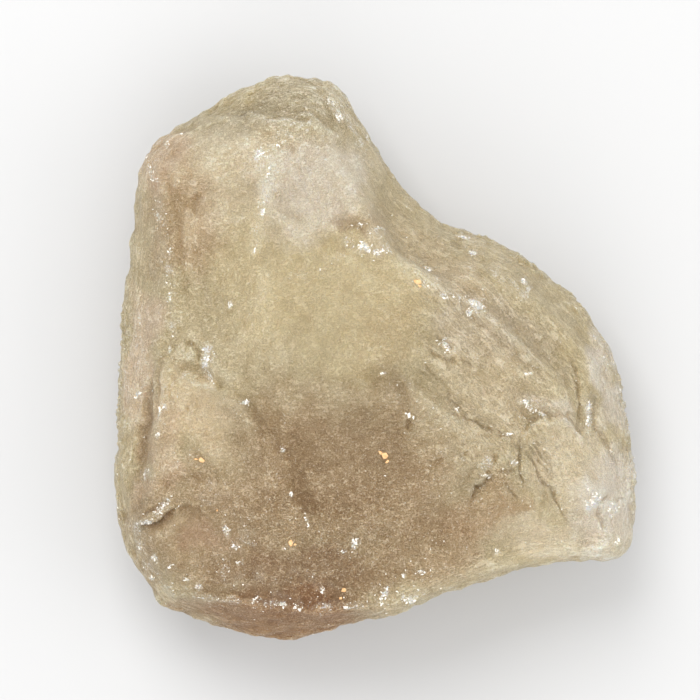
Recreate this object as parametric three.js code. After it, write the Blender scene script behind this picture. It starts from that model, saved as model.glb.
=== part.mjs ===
// A lump of Libyan desert glass, lying on its broad flat back.
// It is one natural piece: broken faces and scoops, rounded over by wind-blown sand.
// Units are millimetres and +Z is up. Seen from above, +X is right and +Y is the narrow end.

import * as THREE from 'three';
import { ImprovedNoise } from 'three/addons/math/ImprovedNoise.js';
import { mergeVertices } from 'three/addons/utils/BufferGeometryUtils.js';

// Driving dimensions
const stoneWidth = 65.2;
const stoneLength = 70.6;
const stoneThickness = 25.6;

// How sharp the worn edges are: the width over which two faces blend into each other
const topEdge = 1.3;
const underEdge = 2.4;
const restEdge = 1.2;

// The widest outline seen from above, anticlockwise from the lower right corner. Each point is X, Y,
// the height of the rim there, and how steeply the bevel above it climbs towards the top.
const rimPoints = [
  [31.5, -24.0, 12.6, 1.7],
  [32.1, -20.3, 10.8, 1.5],
  [32.6, -16.2, 9.8, 1.3],
  [32.2, -12.8, 9.0, 1.3],
  [31.7, -9.6, 9.4, 1.3],
  [30.5, -6.2, 9.8, 1.5],
  [30.7, -3.2, 10.0, 1.4],
  [29.5, 0.8, 10.2, 1.3],
  [27.4, 4.0, 10.4, 1.2],
  [22.7, 9.2, 10.8, 1.3],
  [17.7, 12.7, 11.2, 1.6],
  [12.8, 15.2, 11.6, 1.8],
  [10.2, 15.8, 11.6, 1.7],
  [6.6, 17.9, 11.4, 1.6],
  [3.0, 20.8, 11.2, 1.7],
  [1.1, 23.9, 11.0, 2.0],
  [-0.9, 27.7, 10.8, 2.0],
  [-2.9, 30.7, 11.0, 1.8],
  [-5.2, 34.0, 11.4, 1.5],
  [-9.9, 35.3, 11.6, 1.2],
  [-15.1, 34.2, 11.6, 1.2],
  [-21.4, 30.8, 11.8, 1.3],
  [-27.1, 26.9, 12.0, 1.6],
  [-29.4, 24.2, 12.4, 2.0],
  [-30.0, 19.6, 12.8, 1.7],
  [-30.3, 15.2, 13.0, 1.5],
  [-30.3, 11.2, 13.2, 1.3],
  [-31.2, 5.2, 13.4, 1.1],
  [-32.1, -2.0, 13.2, 1.0],
  [-32.3, -9.0, 12.8, 1.2],
  [-32.6, -14.1, 12.4, 1.6],
  [-31.7, -20.2, 12.0, 2.0],
  [-30.3, -25.1, 11.6, 1.8],
  [-28.5, -28.2, 11.6, 1.7],
  [-27.4, -30.7, 11.8, 1.8],
  [-23.6, -31.8, 12.2, 1.9],
  [-17.8, -33.8, 12.8, 1.5],
  [-13.0, -35.3, 13.2, 1.3],
  [-9.9, -35.1, 13.6, 1.4],
  [-4.0, -33.1, 15.6, 2.0],
  [2.2, -31.3, 18.6, 2.4],
  [8.3, -28.9, 19.4, 2.4],
  [13.3, -27.4, 18.6, 2.4],
  [18.6, -26.1, 17.4, 2.2],
  [24.8, -25.1, 15.4, 2.0],
  [29.6, -25.0, 13.4, 1.8],
];
const rimStepsPerStretch = 6;

// Blunt band between the rim and the foot of the bevel, and how far the rounding draws the rim in
const bevelFoot = 1.8;
const rimRounding = 0.35;

// Each face is a plane through a point. It falls or rises towards a compass angle
// (0 is +X, 90 is +Y), by so much in each millimetre.
const topFaces = [
  { through: [-5, -3.5, 25.6], towards: 88, fall: 0.15 },
  { through: [-5, -3.5, 25.6], towards: 262, fall: 0.13 },
  { through: [7, 4, 24.6], towards: 22, fall: 0.24 },
  { through: [10, -8, 24.4], towards: -14, fall: 0.33 },
  { through: [-20, 4, 23.2], towards: 172, fall: 0.3 },
  { through: [-22, -20, 22.4], towards: 225, fall: 0.36 },
];

const underFaces = [
  { through: [-17, 8, 0], towards: 172, rise: 0.62 },
  { through: [-18, -8, 0], towards: 196, rise: 0.56 },
  { through: [-14, -17, 0], towards: 232, rise: 0.5 },
  { through: [-4, -21, 0], towards: 268, rise: 0.7 },
  { through: [9, -17, 0], towards: 300, rise: 0.52 },
  { through: [15, -9, 0], towards: -26, rise: 0.38 },
  { through: [16, -1, 0], towards: 12, rise: 0.3 },
  { through: [11, 5, 0], towards: 46, rise: 0.6 },
  { through: [-1, 15, 0], towards: 72, rise: 0.5 },
  { through: [-8, 16, 0], towards: 96, rise: 0.42 },
  { through: [-16, 15, 0], towards: 132, rise: 0.54 },
];

// Shallow dishes left where shells of glass broke out. Radii are along and across the turn angle.
const topDishes = [
  { at: [-6.7, 22.8], radii: [6.9, 6.4], turn: 60, depth: 1.7 },
  { at: [-5.0, 15.2], radii: [4.2, 2.8], turn: 20, depth: 0.8 },
  { at: [-19.4, 22.0], radii: [6.2, 5.4], turn: 20, depth: 1.3 },
  { at: [-24.6, 19.8], radii: [2.4, 3.4], turn: 0, depth: 0.6 },
  { at: [-7.0, 5.5], radii: [8.5, 6.5], turn: 100, depth: 0.9 },
  { at: [-19.6, 9.0], radii: [5.2, 8.5], turn: 0, depth: 0.9 },
  { at: [-20.4, -8.6], radii: [9.4, 6.0], turn: -42, depth: 1.5 },
  { at: [-20.5, -23.2], radii: [8.2, 5.6], turn: -8, depth: 0.9 },
  { at: [-3.0, -13.5], radii: [9.5, 8.0], turn: 12, depth: 0.9 },
  { at: [-3.5, -25.5], radii: [9.5, 4.4], turn: 8, depth: 0.6 },
  { at: [9.8, -20.0], radii: [7.6, 4.8], turn: 24, depth: 0.9 },
  { at: [7.8, 2.2], radii: [2.8, 2.2], turn: -40, depth: 0.8 },
  { at: [19.6, -5.8], radii: [4.2, 2.8], turn: -38, depth: 0.7 },
  { at: [24.2, -11.8], radii: [5.8, 5.2], turn: 70, depth: 1.2 },
  { at: [18.2, -22.4], radii: [5.4, 3.0], turn: 4, depth: 0.7 },
  { at: [27.4, -20.0], radii: [2.6, 3.4], turn: 0, depth: 0.6 },
];

// Long furrows and cracks across the top. Depth is at the middle of the line.
const topFurrows = [
  {
    line: [[0.4, 20.4], [3.2, 14.6], [9.4, 10.6], [16.2, 5.6], [21.2, 1.1], [24.4, -1.6], [25.4, -7.6]],
    reach: 2.4,
    depth: 1.3,
  },
  { line: [[4.9, -1.0], [9.3, -4.7], [16.2, -10.3]], reach: 1.9, depth: 0.8 },
  { line: [[-28.6, -3.0], [-29.6, -10.0], [-30.4, -17.5]], reach: 1.8, depth: 0.9 },
  { line: [[18.2, -9.8], [18.2, -16.2]], reach: 1.5, depth: 0.9 },
  { line: [[18.8, -10.8], [21.6, -15.6], [22.4, -18.6]], reach: 1.5, depth: 0.9 },
  { line: [[12.2, -14.2], [12.0, -18.4]], reach: 1.5, depth: 0.7 },
];

// Raised crests that the wear left standing. Height is at the middle of the line.
const topCrests = [
  { line: [[-14.0, 25.2], [-13.4, 22.2], [-14.2, 17.9], [-15.4, 12.6]], reach: 2.0, height: 0.5 },
  { line: [[-21.6, -2.4], [-15.7, -6.0], [-11.9, -11.0], [-9.0, -14.8]], reach: 2.0, height: 0.6 },
  { line: [[-27.0, 5.0], [-26.6, -0.5], [-27.6, -6.5]], reach: 1.6, height: 0.6 },
  { line: [[14.6, 11.6], [21.2, 5.9], [25.2, 0.8], [27.8, -5.0]], reach: 2.2, height: 0.7 },
  { line: [[-30.2, -20.4], [-27.6, -20.1], [-24.2, -17.2]], reach: 1.8, height: 0.8 },
  { line: [[26.4, -16.4], [29.4, -17.6]], reach: 2.0, height: 0.6 },
];

// Steps where the ground drops on the right-hand side of the line
const topLedges = [
  { line: [[7.0, -5.3], [3.1, -4.0], [-3.2, -3.5], [-9.4, -3.3], [-13.2, -1.4]], reach: 6.0, drop: 0.7 },
  { line: [[-24.0, -17.6], [-27.6, -20.3], [-30.6, -20.8]], reach: 3.6, drop: 0.8 },
  { line: [[15.5, -13.0], [13.0, -15.5], [12.6, -18.5]], reach: 3.2, drop: 0.7 },
];

const underDishes = [
  { at: [-25.0, 4.0], radii: [7.0, 13.0], turn: 4, depth: 1.3 },
  { at: [-9.0, 27.0], radii: [12.0, 7.5], turn: 14, depth: 1.2 },
  { at: [21.0, 4.0], radii: [12.0, 7.0], turn: -46, depth: 1.4 },
  { at: [22.0, -17.0], radii: [11.0, 7.0], turn: 22, depth: 1.2 },
  { at: [-21.0, -22.0], radii: [12.0, 7.0], turn: -48, depth: 1.3 },
  { at: [2.0, -26.0], radii: [11.0, 5.0], turn: 12, depth: 1.0 },
  { at: [-20.0, 17.0], radii: [6.0, 4.0], turn: 50, depth: 0.7 },
];

// Uneven wear: how far apart the lumps are and how high they stand
const wear = [
  { spacing: 15, height: 0.55 },
  { spacing: 6.5, height: 0.34 },
  { spacing: 3.4, height: 0.16 },
];

// Carving starts where the skin turns up (or down) by the first share, and is whole at the second
const topTurn = [0.1, 0.55];
const underTurn = [0.15, 0.5];

// Height above the resting face over which carving and wear fade in
const restMargin = 2.5;

// Share of a drawn line over which it fades out at each end
const lineEndShare = 0.16;
const ledgeLip = 0.9;

// The side rounds over at the rim, and slants inwards above and below it
const sideRounding = 1.4;
const slantAbove = 0.42;
const slantBelow = 0.34;

// The skin is a net of triangles, drawn out from a point inside the stone. It is a little denser on top.
const netCentre = new THREE.Vector3(-3, -1, 11);
const netHalfSize = new THREE.Vector3(33, 35, 13);
const netDetail = 21;
const netUpwardShift = 0.16;
const outsideReach = 2.2;
const searchSteps = 30;
const normalStep = 0.25;
const flatTolerance = 1e-6;

const noise = new ImprovedNoise();

function smoothMax(a, b, width) {
  const overlap = Math.max(width - Math.abs(a - b), 0) / width;
  return Math.max(a, b) + overlap * overlap * width * 0.25;
}

function sampleRim() {
  const corners = rimPoints.map(([x, y, z]) => new THREE.Vector3(x, y, z));
  const curve = new THREE.CatmullRomCurve3(corners, true, 'centripetal');
  const count = rimPoints.length * rimStepsPerStretch;
  return curve.getPoints(count).slice(0, count).map((place, i) => {
    const stretch = Math.floor(i / rimStepsPerStretch);
    const along = (i % rimStepsPerStretch) / rimStepsPerStretch;
    const climb = rimPoints[stretch][3];
    const nextClimb = rimPoints[(stretch + 1) % rimPoints.length][3];
    return { x: place.x, y: place.y, height: place.z, climb: climb + (nextClimb - climb) * along };
  });
}

const rim = sampleRim();

// Distance to the rim seen from above, negative inside it, with the rim's height and bevel there
function nearestRim(x, y) {
  let best = Infinity;
  let height = 0;
  let climb = 0;
  let inside = false;
  for (let i = 0; i < rim.length; i += 1) {
    const a = rim[i];
    const b = rim[(i + 1) % rim.length];
    const dx = b.x - a.x;
    const dy = b.y - a.y;
    const along = THREE.MathUtils.clamp(((x - a.x) * dx + (y - a.y) * dy) / (dx * dx + dy * dy), 0, 1);
    const gap = Math.hypot(x - a.x - dx * along, y - a.y - dy * along);
    if (gap < best) {
      best = gap;
      height = a.height + (b.height - a.height) * along;
      climb = a.climb + (b.climb - a.climb) * along;
    }
    const crosses = (a.y > y) !== (b.y > y) && x < a.x + (dx * (y - a.y)) / dy;
    if (crosses) {
      inside = !inside;
    }
  }
  return { distance: inside ? -best : best, height, climb };
}

// How far the side has drawn in, at a height above or below the rim
function sideDrawIn(rise) {
  const slant = rise > 0 ? slantAbove : slantBelow;
  return Math.hypot(sideRounding, rise * slant) - sideRounding;
}

function planeHeight(face, slope, x, y) {
  const [px, py, pz] = face.through;
  const angle = THREE.MathUtils.degToRad(face.towards);
  return pz + slope * ((x - px) * Math.cos(angle) + (y - py) * Math.sin(angle));
}

// The stone before its scoops and furrows: negative inside, positive outside
function blockValue(p) {
  const { distance, height, climb } = nearestRim(p.x, p.y);
  const side = distance - rimRounding + sideDrawIn(p.z - height);
  const bevel = (p.z - height - bevelFoot + climb * distance) / Math.hypot(1, climb);
  let value = smoothMax(side, bevel, topEdge);
  for (const face of topFaces) {
    const above = (p.z - planeHeight(face, -face.fall, p.x, p.y)) / Math.hypot(1, face.fall);
    value = smoothMax(value, above, topEdge);
  }
  for (const face of underFaces) {
    const below = (planeHeight(face, face.rise, p.x, p.y) - p.z) / Math.hypot(1, face.rise);
    value = smoothMax(value, below, underEdge);
  }
  return smoothMax(value, -p.z, restEdge);
}

function blockNormal(p) {
  const slope = (dx, dy, dz) => {
    const ahead = blockValue(new THREE.Vector3(p.x + dx, p.y + dy, p.z + dz));
    const behind = blockValue(new THREE.Vector3(p.x - dx, p.y - dy, p.z - dz));
    return ahead - behind;
  };
  const across = slope(normalStep, 0, 0);
  const along = slope(0, normalStep, 0);
  const upwards = slope(0, 0, normalStep);
  return new THREE.Vector3(across, along, upwards).normalize();
}

// Where a straight line from the net's centre leaves the stone
function pointOnBlock(direction) {
  let inner = 0;
  let outer = outsideReach;
  const p = new THREE.Vector3();
  for (let i = 0; i < searchSteps; i += 1) {
    const middle = (inner + outer) / 2;
    p.copy(direction).multiplyScalar(middle).add(netCentre);
    if (blockValue(p) < 0) {
      inner = middle;
    } else {
      outer = middle;
    }
  }
  return p;
}

function dishDepth(dish, x, y) {
  const angle = THREE.MathUtils.degToRad(dish.turn);
  const dx = x - dish.at[0];
  const dy = y - dish.at[1];
  const along = (dx * Math.cos(angle) + dy * Math.sin(angle)) / dish.radii[0];
  const across = (dy * Math.cos(angle) - dx * Math.sin(angle)) / dish.radii[1];
  return dish.depth * Math.max(0, 1 - along * along - across * across);
}

// Nearest place on a drawn line: the gap, which side it lies on, and 0 to 1 along the line
function nearestOnLine(line, x, y) {
  const lengths = line.slice(1).map((end, i) => Math.hypot(end[0] - line[i][0], end[1] - line[i][1]));
  const total = lengths.reduce((sum, length) => sum + length, 0);
  let best = { gap: Infinity, side: 1, along: 0 };
  let passed = 0;
  lengths.forEach((length, i) => {
    const [ax, ay] = line[i];
    const dx = (line[i + 1][0] - ax) / length;
    const dy = (line[i + 1][1] - ay) / length;
    const along = THREE.MathUtils.clamp((x - ax) * dx + (y - ay) * dy, 0, length);
    const gap = Math.hypot(x - ax - dx * along, y - ay - dy * along);
    if (gap < best.gap) {
      const side = (x - ax) * dy - (y - ay) * dx > 0 ? 1 : -1;
      best = { gap, side, along: (passed + along) / total };
    }
    passed += length;
  });
  return best;
}

// 1 over most of a line, falling off at its two ends
function endFade(along) {
  return THREE.MathUtils.smoothstep(Math.min(along, 1 - along), -lineEndShare / 3, lineEndShare);
}

// A line's cross-section: 1 on the line, 0 at its reach
function lineProfile(gap, reach) {
  return 1 - THREE.MathUtils.smoothstep(gap, 0, reach);
}

function topRelief(x, y) {
  let relief = 0;
  for (const dish of topDishes) {
    relief -= dishDepth(dish, x, y);
  }
  for (const furrow of topFurrows) {
    const { gap, along } = nearestOnLine(furrow.line, x, y);
    relief -= furrow.depth * lineProfile(gap, furrow.reach) * endFade(along);
  }
  for (const crest of topCrests) {
    const { gap, along } = nearestOnLine(crest.line, x, y);
    relief += crest.height * lineProfile(gap, crest.reach) * endFade(along);
  }
  for (const ledge of topLedges) {
    const { gap, side, along } = nearestOnLine(ledge.line, x, y);
    if (side > 0) {
      const lip = THREE.MathUtils.smoothstep(gap, 0, ledgeLip);
      relief -= ledge.drop * lip * lineProfile(gap, ledge.reach) * endFade(along);
    }
  }
  return relief;
}

function underRelief(x, y) {
  let relief = 0;
  for (const dish of underDishes) {
    relief -= dishDepth(dish, x, y);
  }
  return relief;
}

function wearRelief(p) {
  let relief = 0;
  for (const { spacing, height } of wear) {
    relief += height * noise.noise(p.x / spacing, p.y / spacing, p.z / spacing);
  }
  return relief;
}

// A skin point after the scoops, furrows and wear. The flat resting face stays as it is.
function finishedPoint(direction) {
  const p = pointOnBlock(direction);
  const normal = blockNormal(p);
  if (p.z < flatTolerance) {
    p.z = 0;
    return p;
  }
  const onTop = THREE.MathUtils.smoothstep(normal.z, ...topTurn);
  const underneath = THREE.MathUtils.smoothstep(-normal.z, ...underTurn);
  const liftOff = THREE.MathUtils.smoothstep(p.z, 0, restMargin);
  const carved = onTop * topRelief(p.x, p.y) + underneath * liftOff * underRelief(p.x, p.y);
  return p.addScaledVector(normal, carved + liftOff * wearRelief(p));
}

function stoneGeometry() {
  const ball = new THREE.IcosahedronGeometry(1, netDetail);
  ball.deleteAttribute('normal');
  ball.deleteAttribute('uv');
  const geometry = mergeVertices(ball);
  const positions = geometry.getAttribute('position');
  const direction = new THREE.Vector3();
  for (let i = 0; i < positions.count; i += 1) {
    direction.fromBufferAttribute(positions, i);
    direction.z += netUpwardShift;
    direction.normalize().multiply(netHalfSize);
    const p = finishedPoint(direction);
    positions.setXYZ(i, p.x, p.y, p.z);
  }
  fitToSize(geometry);
  geometry.computeVertexNormals();
  return geometry;
}

// Brings the outside exactly to the driving dimensions, standing on Z = 0 and centred on the Z axis
function fitToSize(geometry) {
  geometry.computeBoundingBox();
  const { min, max } = geometry.boundingBox;
  geometry.translate(-(min.x + max.x) / 2, -(min.y + max.y) / 2, -min.z);
  const scaleX = stoneWidth / (max.x - min.x);
  const scaleY = stoneLength / (max.y - min.y);
  const scaleZ = stoneThickness / (max.z - min.z);
  geometry.scale(scaleX, scaleY, scaleZ);
}

// Frosted, pale yellow-green to smoky grey-brown glass
const desertGlass = new THREE.MeshStandardMaterial({ color: 0xbfac88, roughness: 0.5, metalness: 0 });

const stone = new THREE.Mesh(stoneGeometry(), desertGlass);
stone.name = 'stone';

const lump = new THREE.Group();
lump.add(stone);

export default lump;
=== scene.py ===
import math

import bpy
import numpy as np
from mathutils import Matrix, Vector, noise
from mathutils.bvhtree import BVHTree


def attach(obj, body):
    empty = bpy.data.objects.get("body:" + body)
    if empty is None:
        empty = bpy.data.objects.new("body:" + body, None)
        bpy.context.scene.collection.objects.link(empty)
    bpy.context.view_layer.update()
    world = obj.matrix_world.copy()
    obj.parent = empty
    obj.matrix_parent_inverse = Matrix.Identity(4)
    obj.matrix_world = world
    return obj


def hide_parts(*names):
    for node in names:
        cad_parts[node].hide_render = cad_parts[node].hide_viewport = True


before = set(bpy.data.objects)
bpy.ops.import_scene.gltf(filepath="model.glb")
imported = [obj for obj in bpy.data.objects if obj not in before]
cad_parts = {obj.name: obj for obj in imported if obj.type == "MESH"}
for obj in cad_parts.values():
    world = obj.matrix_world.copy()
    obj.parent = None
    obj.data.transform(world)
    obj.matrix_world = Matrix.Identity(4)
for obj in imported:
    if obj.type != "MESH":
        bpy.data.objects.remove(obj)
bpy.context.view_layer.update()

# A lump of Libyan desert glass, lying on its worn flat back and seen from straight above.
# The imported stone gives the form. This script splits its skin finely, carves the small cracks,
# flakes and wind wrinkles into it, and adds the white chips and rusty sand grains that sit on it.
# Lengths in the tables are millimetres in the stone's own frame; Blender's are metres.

MM = 0.001
BODY = "root"
NODE = "stone"

# Skin corners that agree to this many decimals are one corner
MERGE_DIGITS = 4
# The forms fade out over this height above the floor, so that the stone keeps its rest
REST_MARGIN = 1.6
# Small forms are carved only where the skin faces up, and fade out between these two slopes
TOP_TURN = (0.1, 0.5)
# The skin is split once where it doesn't face down, again beside narrow forms, and again beside cracks
UNDERSIDE_TURN = -0.1
NARROW = 0.8
FORM_MARGIN = 0.55
CRACK_MARGIN = 0.35
# Dust and painted shade in a crack reach this far from its middle
CRACK_REACH = 0.22
# Grooves and steps fade out over this share of their length at both ends
END_SHARE = 0.2
# What is drawn on the skin wanders by about half a millimetre
WANDER_SPACING = 1.8
WANDER_REACH = 0.55
WANDER_SEED = 4
# The rim is the furthest point in each sector round this centre
RIM_CENTRE = (-5.0, 0.0)
RIM_SECTORS = 180
# A crest that stands this far out of its surroundings is painted with the palest light, and the surroundings
# are the skin after this many rounds of evening out
CREST_HEIGHT = 0.2
CREST_ROUNDS = 10

# Forms of the wind-worn skin, which the geometry tree takes as its inputs
SKIN_SIZES = {
    "Lump spacing": 3.0, "Lump height": 0.8,
    "Ripple spacing": 1.1, "Ripple height": 0.4,
    "Pit spacing": 2.4, "Pit depth": 0.12,
    "Nodule spacing": 0.85, "Nodule height": 0.32,
    "Rest margin": REST_MARGIN,
}

# Small grooves and cracks: line, reach across, depth, how dark the crack in it is
GROOVES = [
    # Crack above the broken corner
    ([(5.8, -0.4), (8.0, -3.2), (10.0, -5.4), (11.4, -6.8)], 0.5, 0.14, 0.25),
    ([(10.5, -6.6), (12.5, -7.8), (14.0, -9.0), (15.4, -9.6), (17.4, -9.9)], 0.32, 0.12, 0.4),
    # The two arms of the wedge
    ([(18.1, -10.2), (17.9, -12.8), (17.8, -14.2), (18.1, -15.2), (18.4, -16.0)], 0.36, 0.16, 0.55),
    ([(18.3, -11.2), (19.2, -12.7), (20.0, -14.1), (20.9, -15.1), (21.5, -16.0), (22.4, -17.5), (23.2, -19.4),
      (23.8, -20.4)], 0.36, 0.16, 0.5),
    # Torn lines beside the right arm
    ([(18.8, -10.3), (20.2, -11.5), (21.4, -13.1), (22.1, -14.8)], 0.25, 0.1, 0.35),
    ([(18.7, -10.8), (19.8, -12.0), (20.9, -13.4), (21.6, -15.0)], 0.25, 0.1, 0.35),
    ([(19.1, -10.1), (20.8, -11.4), (21.9, -13.0)], 0.25, 0.08, 0.25),
    ([(16.0, -15.3), (16.9, -16.7), (17.7, -17.5)], 0.4, 0.15, 0.5),
    ([(15.0, -14.3), (17.2, -14.1)], 0.4, 0.12, 0.3),
    # Sides of the right-hand band
    ([(23.8, 0.5), (24.8, -1.4), (25.2, -4.0), (25.6, -6.0), (25.3, -8.8)], 0.6, 0.25, 0.4),
    ([(27.0, -3.0), (27.1, -5.0), (27.2, -8.0), (28.2, -10.0), (29.5, -12.0), (29.9, -14.0)],
     0.7, 0.25, 0.35),
    # Foot of the left bevel
    ([(-26.2, 1.0), (-27.4, -3.0), (-27.9, -5.0), (-28.3, -7.4), (-28.9, -10.0), (-29.4, -13.4),
      (-29.7, -15.6)], 1.3, 0.55, 0.35),
    ([(-25.2, 22.0), (-24.6, 14.0), (-24.0, 6.0)], 1.6, 0.35, 0.0),
    # Short cuts in the right lobe
    ([(7.4, 2.5), (8.4, 1.7), (9.4, 0.9)], 0.4, 0.2, 0.5),
    ([(10.5, -0.1), (11.9, -1.3)], 0.4, 0.15, 0.5),
    ([(4.9, -1.6), (6.4, -2.2), (7.6, -3.6)], 0.4, 0.1, 0.2),
    ([(-17.5, 30.4), (-16.0, 30.5), (-14.6, 30.2)], 0.3, 0.15, 0.5),
    # Cracks in the pale corner
    ([(27.1, -17.5), (27.7, -18.1), (28.3, -17.7), (29.1, -17.5)], 0.35, 0.2, 0.45),
    ([(27.7, -18.1), (27.7, -19.4), (28.2, -20.5), (28.4, -21.4)], 0.4, 0.2, 0.4),
    ([(30.2, -18.0), (31.0, -17.6)], 0.35, 0.15, 0.4),
    # Upper edge of the flake near the left end
    ([(-28.8, -19.9), (-27.6, -18.7), (-25.8, -17.5)], 0.4, 0.25, 0.35),
    # Beside the knob on the left ridge
    ([(-23.4, 2.2), (-22.5, 1.6), (-22.1, 0.6), (-22.4, -0.6)], 0.6, 0.25, 0.25),
    ([(-12.6, 21.0), (-12.3, 19.8), (-11.2, 18.4), (-9.6, 17.4), (-7.8, 17.0)], 1.2, 0.25, 0.06),
    ([(-6.4, 17.0), (-4.4, 17.6), (-2.4, 17.0), (-0.8, 15.4)], 1.6, 0.2, 0.0),
    # Long furrows along the valley and the right lobe
    ([(0.6, 19.4), (3.2, 14.9), (9.3, 11.0), (16.2, 5.8), (21.0, 1.4)], 2.4, 0.12, 0.0),
    ([(8.0, 7.8), (13.6, 4.0), (18.4, -0.6), (22.8, -3.4)], 1.2, 0.22, 0.2),
    ([(2.8, 18.6), (5.8, 15.2), (11.0, 12.4), (17.0, 8.2)], 1.3, 0.25, 0.0),
    ([(4.0, -1.4), (8.4, -5.6), (12.6, -8.6)], 1.4, 0.15, 0.0),
    # Soft troughs in the smoky half
    ([(-17.2, -5.2), (-14.6, -8.0), (-12.8, -10.8), (-9.6, -15.6), (-7.0, -21.0)], 2.2, 0.4, 0.0),
    ([(-27.6, -15.6), (-22.6, -14.6), (-17.2, -14.2)], 1.6, 0.2, 0.0),
    ([(-26.6, 24.4), (-25.2, 20.8), (-21.4, 17.6)], 1.4, 0.3, 0.0),
]

# Steps: line, width of the lip, drop on the line's right-hand side, distance over which the drop
# eases out again, how dark the crack at its foot is
STEPS = [
    # Flake near the left end, and the arc that runs on from it
    ([(-30.2, -21.2), (-28.6, -20.7), (-27.3, -20.1), (-26.2, -19.0), (-25.0, -18.4)], 0.3, 0.65, 2.2, 0.6),
    ([(-25.2, -18.5), (-23.5, -18.2), (-21.6, -18.6), (-20.4, -19.8)], 0.5, 0.18, 2.6, 0.08),
    # Shell-shaped scar and the facets by the wedge
    ([(11.7, -17.6), (11.8, -16.4), (12.5, -15.5), (13.6, -15.0), (14.8, -14.5)], 0.3, 0.45, 3.0, 0.4),
    ([(25.9, -10.6), (24.7, -8.5), (23.2, -7.8), (21.5, -7.8), (19.5, -8.2), (18.6, -9.8)],
     0.35, 0.35, 3.4, 0.2),
    ([(21.8, -7.5), (19.3, -8.1), (17.4, -6.8)], 0.35, 0.25, 2.2, 0.2),
    ([(6.4, 1.6), (8.6, 0.2), (10.6, 0.6)], 0.35, 0.25, 2.0, 0.3),
    # Rounded fold that runs from the knob to the middle
    ([(-9.8, -16.6), (-11.4, -13.4), (-13.6, -10.4), (-15.8, -7.8), (-17.8, -6.0), (-19.4, -4.6)],
     1.6, 0.5, 5.5, 0.0),
    ([(-19.3, -4.6), (-20.2, -3.6), (-22.0, -2.7), (-25.0, -1.8)], 0.6, 0.35, 2.4, 0.0),
    # Edge of the upper bevel
    ([(-2.5, 27.2), (-6.0, 28.6), (-12.4, 29.6), (-15.8, 30.3), (-21.3, 29.3), (-28.0, 25.5)],
     0.9, 0.5, 4.5, 0.0),
    # Edge of the lower bevel
    ([(0.4, -30.6), (-7.0, -31.2), (-13.0, -30.9), (-23.5, -29.4)], 0.7, 0.4, 4.0, 0.0),
]

# Pits and hollows: X, Y, radius, depth
PITS = [
    (14.7, -12.5, 0.6, 0.35),
    (14.0, -14.4, 0.6, 0.3),
    (12.3, -16.0, 0.5, 0.3),
    (24.0, -7.1, 0.45, 0.3),
    (26.8, -22.4, 2.0, 0.5),
    (4.1, -8.2, 0.9, 0.25),
    (-22.2, 19.8, 1.0, 0.3),
    (10.2, 14.4, 1.0, 0.35),
    (-24.0, -26.0, 0.9, 0.12),
    (1.2, -21.6, 1.0, 0.14),
    (-15.6, -27.0, 0.9, 0.12),
    (7.6, -12.8, 0.8, 0.12),
    (11.2, -11.8, 0.4, 0.2),
    (-23.2, -6.6, 0.45, 0.2),
]

# Knobs: X, Y, radius, height
KNOBS = [
    (-23.6, 0.5, 1.9, 0.4),
    (-29.6, 0.6, 2.0, 0.3),
    (-30.4, -8.0, 2.2, 0.35),
    (-30.2, -4.2, 1.6, 0.25),
    (26.3, -18.8, 1.3, 0.3),
    (29.3, -19.0, 1.4, 0.35),
    (30.3, -22.8, 1.0, 0.35),
    (26.4, -6.4, 0.7, 0.2),
    (26.5, -7.9, 0.6, 0.2),
    (-22.8, 21.6, 0.9, 0.3),
    (10.8, 15.0, 0.9, 0.3),
]

# Strips of small nodules: line, reach across it, share of their full height
NODULES = [
    ([(-25.4, 4.0), (-26.0, 1.0), (-26.4, -2.0), (-25.6, -4.4)], 1.5, 1.0),
    ([(-30.2, 6.0), (-31.2, 0.0), (-31.6, -7.0), (-31.2, -14.0)], 1.2, 0.8),
    ([(-27.6, -5.0), (-28.0, -9.0), (-28.4, -12.0)], 0.8, 0.7),
    ([(-26.4, 22.0), (-25.8, 14.0), (-25.2, 7.0)], 1.1, 0.6),
    ([(-23.6, 22.4), (-22.2, 19.4)], 1.2, 0.8),
    ([(30.8, -3.0), (31.4, -9.0), (31.9, -13.0), (31.6, -19.0)], 1.2, 0.7),
    ([(26.3, -4.4), (26.5, -9.0)], 0.8, 0.8),
    ([(15.4, -17.4), (18.8, -18.6)], 1.8, 0.5),
    ([(-28.8, -22.4), (-27.6, -26.0), (-24.0, -28.6)], 1.4, 0.7),
    ([(11.0, 17.0), (16.0, 13.6), (24.0, 7.8), (28.6, 1.0)], 0.9, 0.5),
]


def smoothstep(low, high, value):
    """0 up to the first number, 1 from the second, and a soft slope between them."""
    share = np.clip((value - low) / (high - low), 0, 1)
    return share * share * (3 - 2 * share)


def srgb(code):
    """Turns an sRGB hex colour into linear values."""
    parts = [int(code[i:i + 2], 16) / 255 for i in (1, 3, 5)]
    linear = [part / 12.92 if part <= 0.04045 else ((part + 0.055) / 1.055) ** 2.4 for part in parts]
    return (*linear, 1.0)


def add(tree, kind, inputs=None, **settings):
    """Adds a node. Settings are its properties; inputs gives its sockets values, or what links to them."""
    node = tree.nodes.new(kind)
    for name, value in settings.items():
        setattr(node, name, value)
    for name, value in (inputs or {}).items():
        if isinstance(value, bpy.types.Node):
            value = next(socket for socket in value.outputs if socket.enabled)
        if isinstance(value, bpy.types.NodeSocket):
            tree.links.new(value, node.inputs[name])
        else:
            node.inputs[name].default_value = value
    return node


def new_object(name, data):
    """A new object in the scene, at the origin."""
    made = bpy.data.objects.new(name, data)
    bpy.context.scene.collection.objects.link(made)
    return made


def mesh_object(name, points, faces):
    mesh = bpy.data.meshes.new(name)
    mesh.from_pydata((np.asarray(points) * MM).tolist(), [], np.asarray(faces).tolist())
    mesh.polygons.foreach_set("use_smooth", np.ones(len(faces), dtype=bool))
    mesh.update()
    return new_object(name, mesh)


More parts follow.
